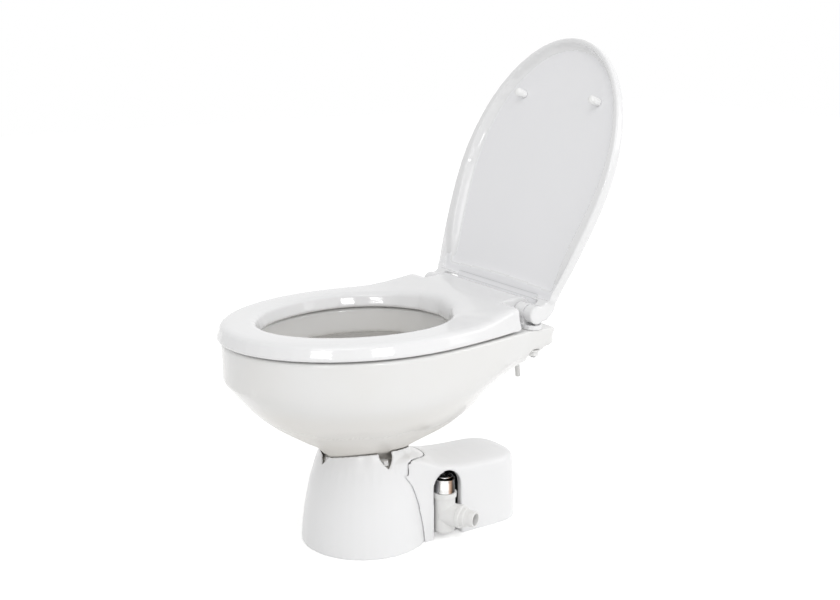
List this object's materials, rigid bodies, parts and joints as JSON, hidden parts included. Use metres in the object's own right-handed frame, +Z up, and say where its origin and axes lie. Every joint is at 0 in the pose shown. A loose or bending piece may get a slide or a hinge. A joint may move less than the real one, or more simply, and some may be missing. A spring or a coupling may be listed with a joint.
{
  "type": "electric marine toilet",
  "caption": "Compact marine toilet: glazed bowl on a round pedestal, hinged seat and lid, macerator pump and motor under a side cover, swivelling discharge elbow.",
  "frame": {"origin": "on the floor, under the middle of the object's box in X and Y, with the lid standing open", "axes": "+Z up, -Y towards the front of the seat, +X towards the side the discharge elbow points to"},
  "size_m": [0.372, 0.638, 0.761],
  "materials": {
    "ceramic": "glossy white glaze",
    "seat_plastic": "glossy white moulded seat and lid",
    "casing_plastic": "satin white moulding",
    "grey_plastic": "light grey matte moulding",
    "clear_plastic": "milky translucent pipe",
    "black_plastic": "matte black moulding",
    "rubber": "black rubber",
    "pale_rubber": "off-white rubber",
    "steel": "plain stainless steel",
    "black_steel": "black painted steel",
    "cast_alloy": "die-cast alloy",
    "copper": "bare copper",
    "carbon": "pressed carbon",
    "ferrite": "dark sintered magnet",
    "brown_wire": "brown wire sleeve"
  },
  "bodies": {
    "base": {"bowl": "ceramic", "bowl_bolt_1": "grey_plastic", "bowl_bolt_2": "grey_plastic", "bowl_bolt_3": "grey_plastic", "bowl_bolt_4": "grey_plastic", "rinse_inlet_tail": "clear_plastic", "hinge_post_left": "seat_plastic", "hinge_post_right": "seat_plastic", "hinge_pin_left": "steel", "hinge_pin_right": "steel", "hinge_bolt_left": "steel", "hinge_bolt_right": "steel", "hinge_nut_left": "grey_plastic", "hinge_nut_right": "grey_plastic", "pedestal": "casing_plastic", "motor_cover": "casing_plastic", "cover_screw_side": "steel", "cover_screw_rear": "steel", "pump_bed": "casing_plastic", "motor_strap": "steel", "strap_screw_1": "steel", "strap_screw_2": "steel", "waste_chamber": "casing_plastic", "outlet_seal": "rubber", "pump_housing": "casing_plastic", "pump_screw_1": "steel", "pump_screw_2": "steel", "cutter_plate": "steel", "shaft_seal": "rubber", "port_o_ring": "rubber", "motor_front_bell": "cast_alloy", "motor_can": "black_steel", "motor_rear_bell": "cast_alloy", "motor_magnet_ring": "ferrite", "front_bearing": "steel", "rear_bearing": "steel", "brush_card": "black_plastic", "brush_spring_upper": "steel", "brush_spring_lower": "steel", "motor_lead_brown": "brown_wire", "motor_lead_black": "rubber"},
    "seat": {"seat": "seat_plastic", "seat_buffer_1": "pale_rubber", "seat_buffer_2": "pale_rubber", "seat_buffer_3": "pale_rubber", "seat_buffer_4": "pale_rubber"},
    "lid": {"lid": "seat_plastic", "lid_buffer_left": "pale_rubber", "lid_buffer_right": "pale_rubber"},
    "rotor": {"motor_shaft": "steel", "armature_core": "steel", "armature_winding": "copper", "commutator": "copper", "macerator_blade": "steel", "blade_nut": "steel", "impeller": "black_plastic"},
    "elbow": {"discharge_elbow": "grey_plastic", "hose_tail": "grey_plastic"},
    "brush_upper": {"brush_upper": "carbon"},
    "brush_lower": {"brush_lower": "carbon"}
  },
  "joints": [
    {"name": "lid_hinge", "type": "hinge", "parent": "base", "child": "lid", "pos_m": [0, 0.12849, 0.357], "axis": [-1, 0, 0], "range_deg": [-112.5, 0]},
    {"name": "seat_hinge", "type": "hinge", "parent": "base", "child": "seat", "pos_m": [0, 0.12849, 0.357], "axis": [-1, 0, 0], "range_deg": [0, 105]},
    {"name": "rotor_spin", "type": "hinge", "parent": "base", "child": "rotor", "pos_m": [0.02, 0.05, 0.06], "axis": [0, 1, 0], "continuous": true},
    {"name": "elbow_swivel", "type": "hinge", "parent": "base", "child": "elbow", "pos_m": [0.074, 0.00949, 0.039], "axis": [0, 0, 1], "range_deg": [-40, 4]},
    {"name": "brush_upper_slide", "type": "slide", "parent": "base", "child": "brush_upper", "axis": [0, 0, 1], "range_m": [0, 0.004], "stiffness_N_per_m": 40, "springref_m": -0.004, "deforming": ["brush_spring_upper"]},
    {"name": "brush_lower_slide", "type": "slide", "parent": "base", "child": "brush_lower", "axis": [0, 0, -1], "range_m": [0, 0.004], "stiffness_N_per_m": 40, "springref_m": -0.004, "deforming": ["brush_spring_lower"]}
  ]
}
